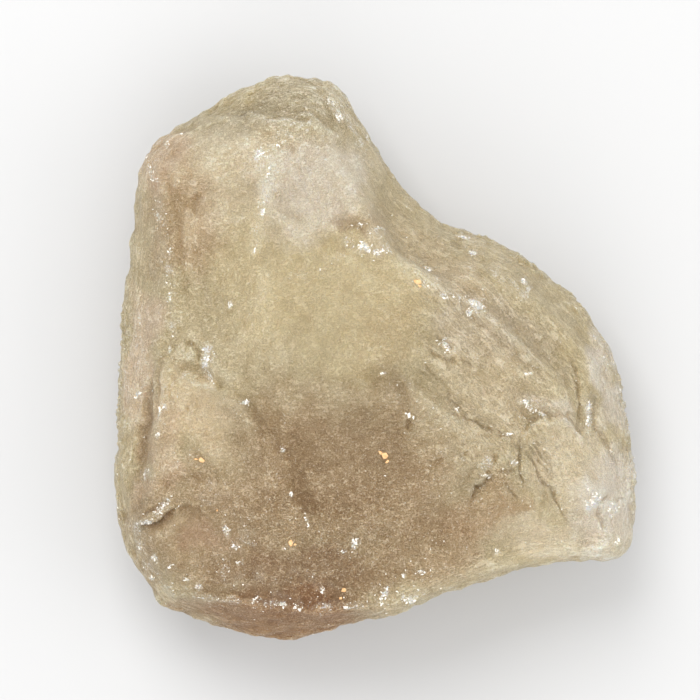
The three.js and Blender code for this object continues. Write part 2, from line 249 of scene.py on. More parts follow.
def store(obj, name, values):
    """Keeps one value, or three, for each corner of the mesh as a named attribute."""
    kind = "FLOAT_VECTOR" if np.ndim(values) == 2 else "FLOAT"
    attribute = obj.data.attributes.new(name, kind, "POINT")
    field = "vector" if kind == "FLOAT_VECTOR" else "value"
    attribute.data.foreach_set(field, np.asarray(values, dtype=np.float32).ravel())


# The skin as numbers

def read_points(mesh):
    flat = np.empty(len(mesh.vertices) * 3)
    mesh.vertices.foreach_get("co", flat)
    return flat.reshape(-1, 3) / MM


def read_faces(mesh):
    mesh.calc_loop_triangles()
    flat = np.empty(len(mesh.loop_triangles) * 3, dtype=np.int64)
    mesh.loop_triangles.foreach_get("vertices", flat)
    return flat.reshape(-1, 3)


def merged_skin(node):
    """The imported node's corners in millimetres and its triangles, with shared corners merged."""
    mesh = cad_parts[node].data
    corners = read_points(mesh)
    _, first, place = np.unique(corners.round(MERGE_DIGITS), axis=0, return_index=True, return_inverse=True)
    return corners[first], place.ravel()[read_faces(mesh)]


def edges_of(faces):
    """Every edge once, as its two corners, and the numbers of each face's three edges."""
    sides = np.concatenate([faces[:, [0, 1]], faces[:, [1, 2]], faces[:, [2, 0]]])
    edges, index = np.unique(np.sort(sides, axis=1), axis=0, return_inverse=True)
    return edges, index.reshape(3, -1).T


def split_smoothly(points, faces):
    """One round of Loop's split: each triangle becomes four on a smoother skin."""
    edges, index = edges_of(faces)
    across = np.zeros((len(edges), 3))
    np.add.at(across, index, points[faces[:, [2, 0, 1]]])
    middle = (points[edges[:, 0]] + points[edges[:, 1]]) * 3 / 8 + across / 8
    degree = np.bincount(edges.ravel(), minlength=len(points))
    ring = np.zeros_like(points)
    np.add.at(ring, edges[:, 0], points[edges[:, 1]])
    np.add.at(ring, edges[:, 1], points[edges[:, 0]])
    pull = (5 / 8 - (3 / 8 + np.cos(2 * np.pi / degree) / 4) ** 2) / degree
    moved = points * (1 - degree * pull)[:, None] + ring * pull[:, None]
    a, b, c = (index + len(points)).T
    smaller = [
        np.column_stack([faces[:, 0], a, c]),
        np.column_stack([faces[:, 1], b, a]),
        np.column_stack([faces[:, 2], c, b]),
        np.column_stack([a, b, c]),
    ]
    return np.concatenate([moved, middle]), np.concatenate(smaller)


def split_where(points, faces, chosen):
    """Splits the chosen faces in four, and their neighbours so that no gap opens between them."""
    edges, index = edges_of(faces)
    halved = np.zeros(len(edges), dtype=bool)
    halved[index[chosen].ravel()] = True

    # A new corner in the middle of each halved edge, lifted off it to keep the skin round
    normals = corner_normals(points, faces)
    start, end = edges[halved].T
    way = points[end] - points[start]
    start_lift = np.einsum("ij,ij->i", way, normals[start])[:, None] * normals[start]
    end_lift = np.einsum("ij,ij->i", way, normals[end])[:, None] * normals[end]
    middle = (points[start] + points[end]) / 2 - (start_lift - end_lift) / 8

    # Faces with no cut stay, those with three become four, and those with one or two become two or three
    number = np.full(len(edges), -1)
    number[halved] = len(points) + np.arange(halved.sum())
    cuts = number[index]
    count = (cuts >= 0).sum(axis=1)
    face, cut = faces[count == 3], cuts[count == 3]
    made = [
        faces[count == 0],
        np.column_stack([face[:, 0], cut[:, 0], cut[:, 2]]),
        np.column_stack([face[:, 1], cut[:, 1], cut[:, 0]]),
        np.column_stack([face[:, 2], cut[:, 2], cut[:, 1]]),
        cut,
    ]
    for turn in range(3):
        face, cut = np.roll(faces, -turn, axis=1), np.roll(cuts, -turn, axis=1)
        one = (count == 1) & (cut[:, 0] >= 0)
        two = (count == 2) & (cut[:, 2] < 0)
        made += [
            np.column_stack([face[one, 0], cut[one, 0], face[one, 2]]),
            np.column_stack([cut[one, 0], face[one, 1], face[one, 2]]),
            np.column_stack([cut[two, 0], face[two, 1], cut[two, 1]]),
            np.column_stack([face[two, 0], cut[two, 0], cut[two, 1]]),
            np.column_stack([face[two, 0], cut[two, 1], face[two, 2]]),
        ]
    return np.concatenate([points, middle]), np.concatenate(made)


def corner_normals(points, faces):
    a, b, c = points[faces[:, 0]], points[faces[:, 1]], points[faces[:, 2]]
    face_normals = np.cross(b - a, c - a)
    normals = np.zeros_like(points)
    for side in range(3):
        np.add.at(normals, faces[:, side], face_normals)
    return normals / np.linalg.norm(normals, axis=1, keepdims=True)


def nearest_on_line(line, xy):
    """Gap to a drawn line, the side of it (1 is right-hand), and 0 to 1 along it, for each point."""
    ends = np.array(line, dtype=float)
    lengths = np.linalg.norm(np.diff(ends, axis=0), axis=1)
    total = lengths.sum()
    gap = np.full(len(xy), np.inf)
    side = np.ones(len(xy))
    along = np.zeros(len(xy))
    passed = 0.0
    for start, end, length in zip(ends[:-1], ends[1:], lengths):
        way = (end - start) / length
        offset = xy - start
        forward = np.clip(offset @ way, 0, length)
        distance = np.linalg.norm(offset - forward[:, None] * way, axis=1)
        closer = distance < gap
        gap[closer] = distance[closer]
        turn = offset[:, 0] * way[1] - offset[:, 1] * way[0]
        side[closer] = np.where(turn[closer] > 0, 1, -1)
        along[closer] = (passed + forward[closer]) / total
        passed += length
    return gap, side, along


def line_marks(ends):
    """How far along a drawn line each of its points lies."""
    return np.concatenate([[0], np.cumsum(np.linalg.norm(np.diff(ends, axis=0), axis=1))])


def end_fade(along):
    """1 along a line, easing off to almost 0 at both ends."""
    return smoothstep(-0.2 * END_SHARE, END_SHARE, np.minimum(along, 1 - along))


def wandered(points):
    """Plan positions shifted a little each way, so that what is drawn on them isn't too straight."""
    noise.seed_set(WANDER_SEED)
    shift = np.array([noise.noise_vector(point / WANDER_SPACING) for point in points])
    return points[:, :2] + shift[:, :2] * WANDER_REACH


def line_cover(xy, lines):
    """The largest share that any of the lines gives each place, easing off across its reach."""
    cover = np.zeros(len(xy))
    for line, reach, share in lines:
        gap, _, _ = nearest_on_line(line, xy)
        cover = np.maximum(cover, share * (1 - smoothstep(0.2 * reach, 1.4 * reach, gap)))
    return cover


def spot_cover(xy):
    """1 inside the patches of white crust, easing off to 0 round them."""
    cover = np.zeros(len(xy))
    for x, y, length, width, turn in CRUST_SPOTS:
        way = np.array([math.cos(math.radians(turn)), math.sin(math.radians(turn))])
        offset = xy - (x, y)
        along = offset @ way / (length / 2)
        across = (offset[:, 1] * way[0] - offset[:, 0] * way[1]) / (width / 2)
        cover = np.maximum(cover, 1 - smoothstep(0.6, 1.5, np.hypot(along, across)))
    return cover


def round_share(points, x, y, radius):
    """1 at a place seen from above, fading away round it."""
    return np.exp(-((points[:, 0] - x) ** 2 + (points[:, 1] - y) ** 2) / radius ** 2)


def near_forms(points):
    """True where a narrow groove or step, a pit, knob, nodule or patch of crust is close."""
    xy = wandered(points)
    near = line_cover(xy, NODULES) > 0.1
    for line, width, *_ in GROOVES + STEPS:
        if width < NARROW:
            near |= nearest_on_line(line, xy)[0] < FORM_MARGIN
    for x, y, radius, _ in PITS + KNOBS:
        near |= np.hypot(xy[:, 0] - x, xy[:, 1] - y) < min(radius, 1.0) + 0.2
    return near | (spot_cover(points[:, :2]) > 0.4)


def near_cracks(points):
    """True beside the lines that are drawn as dark cracks."""
    xy = wandered(points)
    near = np.zeros(len(points), dtype=bool)
    for line, *_, darkness in GROOVES:
        if darkness > 0:
            near |= nearest_on_line(line, xy)[0] < CRACK_MARGIN
    for line, lip, *_, darkness in STEPS:
        if darkness > 0:
            gap, side, _ = nearest_on_line(line, xy)
            near |= (gap < CRACK_MARGIN + lip) & (side > 0)
    return near


def carve_small_forms(points, normals):
    """How far each skin point moves for the small forms, and how much each lies in a crack."""
    xy = wandered(points)
    relief = np.zeros(len(points))
    crack = np.zeros(len(points))
    for line, reach, depth, darkness in GROOVES:
        gap, _, along = nearest_on_line(line, xy)
        relief -= depth * (1 - smoothstep(0, reach, gap)) * end_fade(along)
        # Dust and painted shade along the crack
        dusty_and_shaded = 1 - smoothstep(0.1, max(CRACK_REACH, 0.5 * reach), gap)
        crack = np.maximum(crack, darkness * dusty_and_shaded * end_fade(along))
    for line, lip, drop, reach, darkness in STEPS:
        gap, side, along = nearest_on_line(line, xy)
        fall = smoothstep(0, lip, gap) * (1 - smoothstep(lip, reach, gap))
        relief -= np.where(side > 0, drop * fall, 0) * end_fade(along)
        crest = (1 - smoothstep(0, 3 * lip, gap)) * (side < 0)
        relief += 0.3 * drop * crest * end_fade(along)
        # Dust and painted shade in the crack at the foot of the step
        foot = (1 - smoothstep(0.1, CRACK_REACH, np.abs(gap - lip))) * (side > 0)
        crack = np.maximum(crack, darkness * foot * end_fade(along))
    for x, y, radius, depth in PITS:
        gap = np.hypot(xy[:, 0] - x, xy[:, 1] - y)
        relief -= depth * (1 - smoothstep(0.2 * radius, radius, gap))
    for x, y, radius, height in KNOBS:
        gap = np.hypot(xy[:, 0] - x, xy[:, 1] - y)
        relief += height * (1 - smoothstep(0.1 * radius, radius, gap))
    top = smoothstep(*TOP_TURN, normals[:, 2])
    return relief * top, crack * top


def rim_of(points):
    """The widest outline seen from above: one point for each sector round the rim's centre."""
    offset = points[:, :2] - RIM_CENTRE
    turn = np.arctan2(offset[:, 1], offset[:, 0]) / (2 * np.pi) % 1
    sector = np.floor(turn * RIM_SECTORS).astype(int)
    order = np.argsort(np.linalg.norm(offset, axis=1))
    widest = np.empty(RIM_SECTORS, dtype=int)
    widest[sector[order]] = order
    rim = points[widest]
    return np.mean([np.roll(rim, shift, axis=0) for shift in (-2, -1, 0, 1, 2)], axis=0)


def rim_grain(points):
    """A place for each point in a grain that runs along the rim: round it, and inwards from it."""
    rim = rim_of(points)
    rim = np.concatenate([rim, rim[:1]])
    gap, _, along = nearest_on_line(rim[:, :2], points[:, :2])
    marks = line_marks(rim[:, :2])
    climb = points[:, 2] - np.interp(along * marks[-1], marks, rim[:, 2])
    inwards = (gap + 0.8 * np.abs(climb)) * np.where(climb < 0, -1, 1)
    angle = along * 2 * np.pi
    radius = marks[-1] / (2 * np.pi)
    return np.column_stack([radius * np.cos(angle), radius * np.sin(angle), inwards])


def evened(values, faces, rounds):
    """Averages a value over neighbouring skin points, a few times."""
    near = np.bincount(faces.ravel(), minlength=len(values)) * 2
    for _ in range(rounds):
        total = np.zeros(len(values))
        for a, b in ((0, 1), (1, 2), (2, 0)):
            np.add.at(total, faces[:, a], values[faces[:, b]])
            np.add.at(total, faces[:, b], values[faces[:, a]])
        values = total / near
    return values


def standing_out(points, faces, normals, rounds):
    """How far each point stands out of its neighbourhood: above 0 on crests, below 0 in hollows."""
    smooth = np.column_stack([evened(column, faces, rounds) for column in points.T])
    return np.einsum("ij,ij->i", points - smooth, normals)


# Geometry node trees

def geometry_tree(name, sizes):
    """A tree with a geometry in and out, and one named number for each size."""
    tree = bpy.data.node_groups.new(name, "GeometryNodeTree")
    tree.interface.new_socket("Geometry", in_out="INPUT", socket_type="NodeSocketGeometry")
    for label, value in sizes.items():
        kind = "NodeSocketInt" if isinstance(value, int) else "NodeSocketFloat"
        tree.interface.new_socket(label, in_out="INPUT", socket_type=kind).default_value = value
    tree.interface.new_socket("Geometry", in_out="OUTPUT", socket_type="NodeSocketGeometry")
    return tree, add(tree, "NodeGroupInput").outputs


def apply_tree(obj, tree, values):
    """Runs a tree on an object with the values given by input name, and leaves a plain mesh."""
    modifier = obj.modifiers.new(tree.name, "NODES")
    modifier.node_group = tree
    for item in tree.interface.items_tree:
        if item.in_out == "INPUT" and item.name in values:
            modifier[item.identifier] = values[item.name]
    bpy.context.view_layer.update()
    evaluated = obj.evaluated_get(bpy.context.evaluated_depsgraph_get())
    mesh = bpy.data.meshes.new_from_object(evaluated)
    obj.modifiers.remove(modifier)
    obj.data = mesh
    return obj


def wind_worn_tree(material):
    """Lifts and sinks the skin by lumps, by ripples that run along the rim, by pits and by nodules."""
    tree, given = geometry_tree("wind_worn_skin", SKIN_SIZES)
    place = add(tree, "GeometryNodeInputPosition")
    place_mm = add(tree, "ShaderNodeVectorMath", {0: place, "Scale": 1 / MM}, operation="SCALE")
    grain = add(tree, "GeometryNodeInputNamedAttribute", {"Name": "rim_grain"}, data_type="FLOAT_VECTOR")
    long_grain = add(tree, "ShaderNodeVectorMath", {0: grain, 1: (0.36, 0.36, 1.0)}, operation="MULTIPLY")
    scale = {}
    for form in ("Lump", "Ripple", "Pit", "Nodule"):
        scale[form] = add(tree, "ShaderNodeMath", {0: 1.0, 1: given[form + " spacing"]}, operation="DIVIDE")

    # Each form as a share of its height: lumps and ripples swing both ways, pits sink, nodules rise
    lumps = add(tree, "ShaderNodeTexNoise", {
        "Vector": place_mm, "Scale": scale["Lump"], "Detail": 3.0, "Roughness": 0.55})
    lump_form = add(tree, "ShaderNodeMath", {0: lumps, 1: 0.5}, operation="SUBTRACT")
    ripples = add(tree, "ShaderNodeTexNoise", {
        "Vector": long_grain, "Scale": scale["Ripple"], "Detail": 1.0, "Roughness": 0.5, "Distortion": 0.4})
    ripple_form = add(tree, "ShaderNodeMath", {0: ripples, 1: 0.5}, operation="SUBTRACT")
    pits = add(tree, "ShaderNodeTexVoronoi", {
        "Vector": place_mm, "Scale": scale["Pit"], "Smoothness": 0.6}, feature="SMOOTH_F1")
    pit_form = add(tree, "ShaderNodeMapRange", {
        "Value": pits.outputs["Distance"], "From Min": 0.05, "From Max": 0.5, "To Min": -1.0, "To Max": 0.0},
        interpolation_type="SMOOTHSTEP")
    nodules = add(tree, "ShaderNodeTexVoronoi", {
        "Vector": place_mm, "Scale": scale["Nodule"], "Smoothness": 0.3}, feature="SMOOTH_F1")
    knob = add(tree, "ShaderNodeMapRange", {
        "Value": nodules.outputs["Distance"], "From Max": 0.6, "To Min": 1.0, "To Max": 0.0},
        interpolation_type="SMOOTHSTEP")
    strips = add(tree, "GeometryNodeInputNamedAttribute", {"Name": "nodule"}, data_type="FLOAT")
    nodule_form = add(tree, "ShaderNodeMath", {0: knob, 1: strips}, operation="MULTIPLY")
    rise = 0.0
    for form, size in (
        (lump_form, "Lump height"),
        (ripple_form, "Ripple height"),
        (pit_form, "Pit depth"),
        (nodule_form, "Nodule height"),
    ):
        rise = add(tree, "ShaderNodeMath", {0: form, 1: given[size], 2: rise}, operation="MULTIPLY_ADD")

    height = add(tree, "ShaderNodeSeparateXYZ", {0: place_mm}).outputs["Z"]
    off_floor = add(tree, "ShaderNodeMapRange", {
        "Value": height, "From Max": given["Rest margin"], "To Max": MM}, interpolation_type="SMOOTHSTEP")
    share = add(tree, "GeometryNodeInputNamedAttribute", {"Name": "roughness_share"}, data_type="FLOAT")
    shared = add(tree, "ShaderNodeMath", {0: rise, 1: share}, operation="MULTIPLY")
    distance = add(tree, "ShaderNodeMath", {0: shared, 1: off_floor}, operation="MULTIPLY")
    normal = add(tree, "GeometryNodeInputNormal")
    move = add(tree, "ShaderNodeVectorMath", {0: normal, "Scale": distance}, operation="SCALE")
    moved = add(tree, "GeometryNodeSetPosition", {"Geometry": given["Geometry"], "Offset": move})
    smooth = add(tree, "GeometryNodeSetShadeSmooth", {"Geometry": moved})
    real = add(tree, "GeometryNodeRealizeInstances", {"Geometry": smooth})
    coated = add(tree, "GeometryNodeSetMaterial", {"Geometry": real, "Material": material})
    add(tree, "NodeGroupOutput", {0: coated})
    return tree


def scatter_tree(name, chip, material):
    """Sets rough chips on the points of a mesh, each turned to its normal and scaled by its size."""
    tree, given = geometry_tree(name, {"Seed": 1, "Thickness": 0.5})
    size = add(tree, "GeometryNodeInputNamedAttribute", {"Name": "size"}, data_type="FLOAT")
    facing = add(tree, "GeometryNodeInputNamedAttribute", {"Name": "facing"}, data_type="FLOAT_VECTOR")
    points = add(tree, "GeometryNodeMeshToPoints", {"Mesh": given["Geometry"]})
    upright = add(tree, "FunctionNodeAlignRotationToVector", {"Vector": facing}, axis="Z")
    spin = add(tree, "FunctionNodeRandomValue", {
        0: (0.0, 0.0, 0.0), 1: (0.5, 0.5, 2 * math.pi), "Seed": given["Seed"]}, data_type="FLOAT_VECTOR")
    turned = add(tree, "FunctionNodeRotateRotation", {"Rotation": upright, "Rotate By": spin},
                 rotation_space="LOCAL")
    spread = add(tree, "FunctionNodeRandomValue", {
        0: (0.5, 0.5, 0.0), 1: (1.5, 1.2, 0.0), "Seed": given["Seed"]}, data_type="FLOAT_VECTOR")
    thick = add(tree, "ShaderNodeCombineXYZ", {"Z": given["Thickness"]})
    form = add(tree, "ShaderNodeVectorMath", {0: spread, 1: thick}, operation="ADD")
    scale = add(tree, "ShaderNodeVectorMath", {0: form, "Scale": size}, operation="SCALE")
    body = add(tree, "GeometryNodeObjectInfo", {"Object": chip})
    placed = add(tree, "GeometryNodeInstanceOnPoints", {
        "Points": points, "Instance": body.outputs["Geometry"], "Rotation": turned, "Scale": scale})
    real = add(tree, "GeometryNodeRealizeInstances", {"Geometry": placed})
    coated = add(tree, "GeometryNodeSetMaterial", {"Geometry": real, "Material": material})
    add(tree, "NodeGroupOutput", {0: coated})
    return tree


# Materials

# Tints for the zones, from clear and pale to thick and smoky; the palest also serve as painted light and the
# darkest as painted shade
MILKY = "#f4e8d4"
PALE_STRAW = "#efe0c1"
CREAM = "#efdbb6"
STRAW = "#e3d1a6"
HONEY = "#ccb486"
SAND = "#d6c3a0"
GREY_SAND = "#d0c0a9"
DUN = "#cabb9a"
PALE_ROSE = "#f0d6bd"
ROSE = "#d8b797"
TAN = "#c1a07a"
SMOKE = "#b2946e"
UMBER = "#a5865f"
DEEP_UMBER = "#926c46"
BURNT_UMBER = "#9d6a3c"
# The tint between the zones, and the one that light takes on inside the glass
GLASS_GROUND = "#d2c19a"
GLASS_DEPTH = "#eddab5"
# Dust and painted shade in the cracks, the painted glints of the frosting, and the thin and the thick white
# crust
BROWN_DUST_AND_SHADE = "#6e5433"
GLINT = "#fbf8f0"
CRUST_HAZE = "#fff6e2"
CRUST_WHITE = "#fffdf6"

# Spacing of the patterns in the glass. The wrinkles have their real size, about half a millimetre. The
# frosting is of pits under 0.1 mm, too fine to show in the render, so it is drawn as a grain of 0.2 mm.
FROSTING = 0.2
EVEN_WRINKLE = 0.45
RIM_WRINKLE = 0.5
SLANT_WRINKLE = 0.6
CRUST_CURL = 0.45
CRUST_PATCH = 1.7
# How high the wrinkles stand
WRINKLE_HEIGHT = 0.45
# The edges of the colour zones wander in waves of this length, shifted by a share of this distance
ZONE_WANDER = 9.0
ZONE_SHIFT = 14.0

# Colour zones of the glass: X, Y, reach along, reach across, turn in degrees, strength, tint. The zones are
# partly the glass's own straw and smoky tints and partly painted light and shade: painted glow where the
# glass is thin and lets light through, painted light on facets that face the light, and painted shade on
# slopes turned from it
TINT_AND_LIGHT_ZONES = [
    # Pale yellow heart: a straw tint with a painted glow of light through the glass
    (-4, 8, 13, 10, 30, 0.8, STRAW),
    (-15, 10, 6, 9, 0, 0.55, STRAW),
    (1, 2, 6, 5, 40, 0.5, HONEY),
    # Clear scoops at the narrow end: painted glow of light through the thin glass
    (-18, 23, 7, 5.5, 0, 0.7, PALE_STRAW),
    (-7, 22.5, 7.5, 7, 0, 0.85, MILKY),
    (-12.5, 26.5, 3.5, 2.2, 0, 0.45, HONEY),
    # Smoky patches, darker where the glass is thick; the warm patch at the upper left is painted shade, and
    # the darkest browns along the lower bevel are partly painted shade
    (-23.5, 17, 6, 7.5, 10, 0.55, TAN),
    (-4, -14, 17, 9, -8, 0.85, SMOKE),
    (0, -5.4, 7, 4.5, -20, 0.55, UMBER),
    (-2.5, 17.5, 3.4, 1.6, -30, 0.6, UMBER),
    (-8, -20, 8, 4.5, 0, 0.45, UMBER),
    (-21, -21, 11, 8, 0, 0.75, SMOKE),
    (-9, -27, 12, 5, 0, 0.75, DEEP_UMBER),
    (6, -23, 11, 5, 18, 0.75, SMOKE),
    (14, -19, 5, 4, 20, 0.5, TAN),
    (-12, -33, 14, 4, 4, 0.75, BURNT_UMBER),
    # Painted light on the facet and the strip at the left, which face the light, with a smoky band and rose
    # tints below them
    (-22, -6.4, 7.5, 5, -30, 0.95, CREAM),
    (-29.5, 0, 2.6, 10, 0, 0.5, PALE_ROSE),
    (-22, -14.5, 6, 2.4, -4, 0.5, SMOKE),
    (-23, -21.5, 3, 3, 0, 0.5, ROSE),
    (-27.5, -12, 2, 9, -10, 0.45, ROSE),
    # Pale right end: painted glow where the thin glass lets light through
    (24, -12, 6, 6, 0, 0.8, PALE_STRAW),
    (29, -18, 4.5, 7, 0, 0.95, MILKY),
    (20.5, -22.5, 5.5, 2.8, 0, 0.85, PALE_STRAW),
    (28.4, -3, 1.9, 6.5, 4, 0.8, MILKY),
    (20.4, -6, 3.8, 1.7, -20, 0.7, MILKY),
    (19.6, -13.6, 3.4, 1.3, -62, 0.5, CREAM),
    (13, -8, 7, 6, 0, 0.55, SAND),
    # Lobe and valley; the valley's zone is painted light that evens out the shade on its steep side
    (13, 6, 12, 4, -36, 0.5, GREY_SAND),
    (14, -2, 8, 5, -40, 0.6, SAND),
    (5, 14, 12, 3.2, -38, 0.7, SAND),
    # Upper bevel
    (-12, 31.5, 15, 5, 14, 0.85, DUN),
    (-27, 25, 4, 5, 0, 0.6, ROSE),
]


def empty_material(name):
    material = bpy.data.materials.new(name)
    material.use_nodes = True
    material.node_tree.nodes.clear()
    return material, material.node_tree


def zone_tints_and_light(tree, place_mm):
    """The tints of the glass and its painted light and shade, zone by zone, their edges broken up by a slow
    wander.
    """
    wander = add(tree, "ShaderNodeTexNoise", {"Vector": place_mm, "Scale": 1 / ZONE_WANDER, "Detail": 3.0})
    off_middle = add(tree, "ShaderNodeVectorMath", {0: wander.outputs["Color"], 1: (0.5, 0.5, 0.5)},
                     operation="SUBTRACT")
    warped = add(tree, "ShaderNodeVectorMath", {0: off_middle, 1: (ZONE_SHIFT,) * 3, 2: place_mm},
                 operation="MULTIPLY_ADD")
    plan = add(tree, "ShaderNodeVectorMath", {0: warped, 1: (1.0, 1.0, 0.0)}, operation="MULTIPLY")
    colour = srgb(GLASS_GROUND)
    for x, y, along, across, turn, strength, tint in TINT_AND_LIGHT_ZONES:
        local = add(tree, "ShaderNodeMapping", {
            "Vector": plan, "Location": (x, y, 0), "Rotation": (0, 0, math.radians(turn)),
            "Scale": (along, across, 1)}, vector_type="TEXTURE")
        reach = add(tree, "ShaderNodeVectorMath", {0: local}, operation="LENGTH")
        share = add(tree, "ShaderNodeMapRange", {
            "Value": reach.outputs["Value"], "From Min": 0.45, "From Max": 1.25, "To Min": strength,
            "To Max": 0.0}, interpolation_type="SMOOTHSTEP")
        colour = add(tree, "ShaderNodeMix", {0: share, 6: colour, 7: srgb(tint)}, data_type="RGBA")
    return colour


def wrinkled(tree, place_mm, shares):
    """Even wrinkles, long ones along the rim and slanting ones on the right lobe, each in its share."""
    crosswise = add(tree, "ShaderNodeVectorMath", {0: place_mm, 1: (0.8, 1.0, 0.9)}, operation="MULTIPLY")
    even = add(tree, "ShaderNodeTexNoise", {
        "Vector": crosswise, "Scale": 1 / EVEN_WRINKLE, "Detail": 3.0, "Roughness": 0.75, "Distortion": 0.2})
    grain = add(tree, "ShaderNodeAttribute", attribute_name="rim_grain").outputs["Vector"]
    long_grain = add(tree, "ShaderNodeVectorMath", {0: grain, 1: (0.3, 0.3, 1.0)}, operation="MULTIPLY")
    rim = add(tree, "ShaderNodeTexNoise", {
        "Vector": long_grain, "Scale": 1 / RIM_WRINKLE, "Detail": 3.0, "Roughness": 0.6, "Distortion": 0.7})
    slanted = add(tree, "ShaderNodeMapping", {
        "Vector": place_mm, "Rotation": (0, 0, math.radians(-44)), "Scale": (4.0, 1.0, 1.0)},
        vector_type="TEXTURE")
    slant = add(tree, "ShaderNodeTexNoise", {
        "Vector": slanted, "Scale": 1 / SLANT_WRINKLE, "Detail": 3.0, "Roughness": 0.65, "Distortion": 0.8})
    both = add(tree, "ShaderNodeMix", {0: shares.outputs[0], 2: even, 3: rim})
    return add(tree, "ShaderNodeMix", {0: shares.outputs[1], 2: both, 3: slant})


def crusted(tree, place_mm, frosting, bare_glass):
    """The glass under its crust of crushed glass: a thin haze, then curly, broken lines and specks."""
    crust = add(tree, "ShaderNodeAttribute", attribute_name="crust").outputs["Fac"]
    patches = add(tree, "ShaderNodeTexNoise", {"Vector": place_mm, "Scale": 1 / CRUST_PATCH, "Detail": 2.0})
    bare = add(tree, "ShaderNodeMapRange", {
        "Value": patches, "From Min": 0.38, "From Max": 0.66, "To Min": 0.8, "To Max": 0.0})
    thickness = add(tree, "ShaderNodeMath", {0: crust, 1: bare}, operation="SUBTRACT")
    haze_share = add(tree, "ShaderNodeMapRange", {"Value": thickness, "From Max": 1.2, "To Max": 0.2})
    hazy = add(tree, "ShaderNodeMix", {0: haze_share, 6: bare_glass, 7: srgb(CRUST_HAZE)}, data_type="RGBA")
    curls = add(tree, "ShaderNodeTexNoise", {
        "Vector": place_mm, "Scale": 1 / CRUST_CURL, "Detail": 3.0, "Roughness": 0.75, "Distortion": 1.2})
    cover = add(tree, "ShaderNodeMath", {0: thickness, 1: 0.28, 2: curls}, operation="MULTIPLY_ADD")
    cover = add(tree, "ShaderNodeMath", {0: frosting, 1: 0.5, 2: cover}, operation="MULTIPLY_ADD")
    white_share = add(tree, "ShaderNodeMapRange", {
        "Value": cover, "From Min": 0.98, "From Max": 1.1, "To Max": 0.95})
    return add(tree, "ShaderNodeMix", {0: white_share, 6: hazy, 7: srgb(CRUST_WHITE)}, data_type="RGBA")


